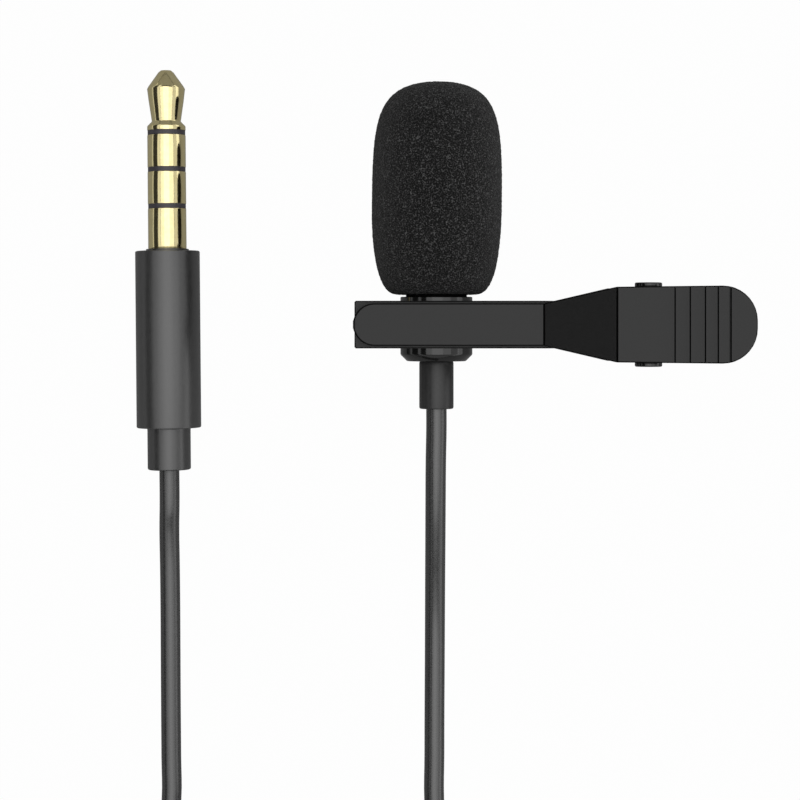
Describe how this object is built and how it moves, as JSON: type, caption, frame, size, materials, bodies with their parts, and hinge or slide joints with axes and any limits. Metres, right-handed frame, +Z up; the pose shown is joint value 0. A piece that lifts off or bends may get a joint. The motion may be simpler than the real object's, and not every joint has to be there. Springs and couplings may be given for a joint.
{
  "type": "lavalier microphone",
  "caption": "Clip-on lavalier microphone with a foam windscreen, a sprung lapel clip, a thin cord wound into a tied coil and a four-contact audio plug.",
  "frame": {"origin": "on the table, under the middle of the microphone and its clip", "axes": "+X from the jaws' tip to the thumb plates, +Y along the microphone towards its windscreen, +Z up from the table"},
  "size_m": [0.0575, 0.1051, 0.0154],
  "materials": {
    "foam": "open-cell polyurethane foam, matt",
    "gloss_black_metal": "polished black",
    "satin_black_metal": "satin black",
    "mesh_cloth": "fine woven cloth",
    "bare_aluminium": "drawn can",
    "black_rubber": "matt",
    "board": "solder mask",
    "copper": "stripped conductor",
    "cord_jacket": "satin",
    "bare_steel": "bare",
    "relief_rubber": "satin",
    "plug_relief": "satin",
    "clip_plastic": "satin moulded",
    "tie_strap": "matt",
    "plug_shell": "dark satin anodised",
    "plug_gold": "gold plated, polished",
    "black_insulation": "satin",
    "inner_plastic": "moulded"
  },
  "bodies": {
    "microphone": {"capsule_housing": "gloss_black_metal", "front_grille": "satin_black_metal", "dust_mesh": "mesh_cloth", "electret_capsule": "bare_aluminium", "capsule_gasket": "black_rubber", "capsule_board": "board", "capsule_leads": "copper", "capsule_cord_end": "cord_jacket", "cord_crimp": "bare_steel", "capsule_strain_relief": "relief_rubber", "cord_microphone_run": "cord_jacket", "cord_coil": "cord_jacket", "cord_plug_run": "cord_jacket", "cord_tie": "tie_strap", "plug_strain_relief": "plug_relief", "plug_housing": "plug_shell", "plug_collar": "plug_shell", "plug_inner_mould": "inner_plastic", "plug_cord_end": "cord_jacket", "plug_leads": "copper", "plug_tip": "plug_gold", "plug_tip_insulator": "black_insulation", "plug_first_ring": "plug_gold", "plug_middle_insulator": "black_insulation", "plug_second_ring": "plug_gold", "plug_sleeve_insulator": "black_insulation", "plug_sleeve": "plug_gold"},
    "windscreen": {"foam_windscreen": "foam"},
    "clip_rear": {"rear_lever": "clip_plastic", "hinge_spring": "bare_steel"},
    "clip_front": {"front_lever": "clip_plastic", "hinge_pin": "satin_black_metal"}
  },
  "joints": [
    {"name": "windscreen_pull", "type": "slide", "parent": "microphone", "child": "windscreen", "axis": [0, 1, 0], "range_m": [0, 0.01]},
    {"name": "clip_swivel", "type": "hinge", "parent": "microphone", "child": "clip_rear", "pos_m": [-0.01, -0.0072, 0.0059], "axis": [0, 1, 0], "range_deg": [-70, 0]},
    {"name": "clip_open", "type": "hinge", "parent": "clip_rear", "child": "clip_front", "pos_m": [0.00855, -0.0072, 0.01095], "axis": [0, 1, 0], "range_deg": [0, 20], "stiffness_Nm_per_rad": 0.02, "springref_deg": -68.75, "deforming": ["hinge_spring"]}
  ]
}
